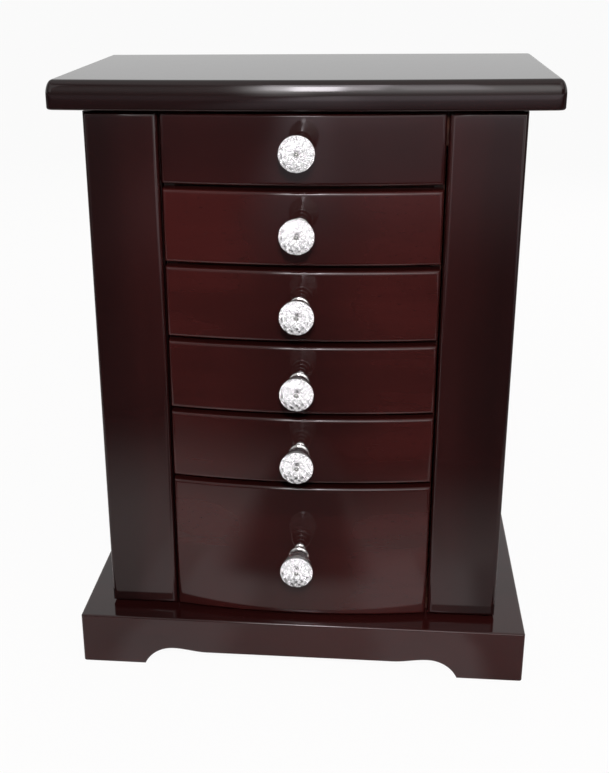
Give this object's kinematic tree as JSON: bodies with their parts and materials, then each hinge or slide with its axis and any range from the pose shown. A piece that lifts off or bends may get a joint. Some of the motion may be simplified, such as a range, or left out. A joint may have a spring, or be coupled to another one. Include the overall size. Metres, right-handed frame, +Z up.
{
  "type": "jewelry cabinet",
  "caption": "Upright wooden jewelry cabinet with bow-front drawers, swing-out necklace doors, a lift-up mirrored lid over a lined tray, and a plinth on bracket feet.",
  "frame": {"origin": "on the floor, under the middle of the whole box, knobs included", "axes": "+Z up, -Y the front with the drawers, +X to the right as seen from the front"},
  "size_m": [0.28, 0.1944, 0.365],
  "materials": {
    "lacquer": "dark mahogany, high gloss",
    "inner_wood": "dark stain, satin",
    "raw_wood": "unfinished",
    "velvet": "short-pile velvet",
    "crystal": "clear, cut in facets",
    "nickel": "polished nickel",
    "hinge_brass": "satin",
    "magnet_steel": "plated",
    "mirror_glass": "polished"
  },
  "bodies": {
    "cabinet": {"base_deck": "lacquer", "base_front_apron": "lacquer", "base_back_apron": "lacquer", "base_side_aprons": "lacquer", "base_corner_blocks": "raw_wood", "bottom_board": "inner_wood", "case_sides": "inner_wood", "drawer_dividers": "inner_wood", "back_panel": "lacquer", "catch_magnets": "magnet_steel", "lid_tray": "inner_wood", "tray_lining": "velvet", "hinge_case_leaves": "hinge_brass", "hinge_pins": "hinge_brass"},
    "lid": {"lid_panel": "lacquer", "lid_mirror": "mirror_glass", "lid_hinge_leaves": "hinge_brass"},
    "left_door": {"left_door_panel": "lacquer", "left_door_stile": "lacquer", "left_door_hooks": "nickel", "left_door_pocket": "velvet", "left_door_strikes": "magnet_steel", "left_door_hinge_leaves": "hinge_brass"},
    "right_door": {"right_door_panel": "lacquer", "right_door_stile": "lacquer", "right_door_hooks": "nickel", "right_door_pocket": "velvet", "right_door_strikes": "magnet_steel", "right_door_hinge_leaves": "hinge_brass"},
    "drawer_1": {"drawer_1_front": "lacquer", "drawer_1_box": "inner_wood", "drawer_1_lining": "velvet", "drawer_1_crystal": "crystal", "drawer_1_knob_base": "nickel"},
    "drawer_2": {"drawer_2_front": "lacquer", "drawer_2_box": "inner_wood", "drawer_2_lining": "velvet", "drawer_2_crystal": "crystal", "drawer_2_knob_base": "nickel"},
    "drawer_3": {"drawer_3_front": "lacquer", "drawer_3_box": "inner_wood", "drawer_3_lining": "velvet", "drawer_3_crystal": "crystal", "drawer_3_knob_base": "nickel"},
    "drawer_4": {"drawer_4_front": "lacquer", "drawer_4_box": "inner_wood", "drawer_4_lining": "velvet", "drawer_4_crystal": "crystal", "drawer_4_knob_base": "nickel"},
    "drawer_5": {"drawer_5_front": "lacquer", "drawer_5_box": "inner_wood", "drawer_5_lining": "velvet", "drawer_5_crystal": "crystal", "drawer_5_knob_base": "nickel"},
    "drawer_6": {"drawer_6_front": "lacquer", "drawer_6_box": "inner_wood", "drawer_6_lining": "velvet", "drawer_6_crystal": "crystal", "drawer_6_knob_base": "nickel"}
  },
  "joints": [
    {"name": "lid_hinge", "type": "hinge", "parent": "cabinet", "child": "lid", "pos_m": [0, 0.09415, 0.349], "axis": [-1, 0, 0], "range_deg": [0, 95]},
    {"name": "left_door_hinge", "type": "hinge", "parent": "cabinet", "child": "left_door", "pos_m": [-0.1241, 0.08335, 0.19], "axis": [0, 0, -1], "range_deg": [0, 100]},
    {"name": "right_door_hinge", "type": "hinge", "parent": "cabinet", "child": "right_door", "pos_m": [0.1241, 0.08335, 0.19], "axis": [0, 0, 1], "range_deg": [0, 100]},
    {"name": "drawer_1_slide", "type": "slide", "parent": "cabinet", "child": "drawer_1", "axis": [0, -1, 0], "range_m": [0, 0.105]},
    {"name": "drawer_2_slide", "type": "slide", "parent": "cabinet", "child": "drawer_2", "axis": [0, -1, 0], "range_m": [0, 0.105]},
    {"name": "drawer_3_slide", "type": "slide", "parent": "cabinet", "child": "drawer_3", "axis": [0, -1, 0], "range_m": [0, 0.105]},
    {"name": "drawer_4_slide", "type": "slide", "parent": "cabinet", "child": "drawer_4", "axis": [0, -1, 0], "range_m": [0, 0.105]},
    {"name": "drawer_5_slide", "type": "slide", "parent": "cabinet", "child": "drawer_5", "axis": [0, -1, 0], "range_m": [0, 0.105]},
    {"name": "drawer_6_slide", "type": "slide", "parent": "cabinet", "child": "drawer_6", "axis": [0, -1, 0], "range_m": [0, 0.105]}
  ]
}
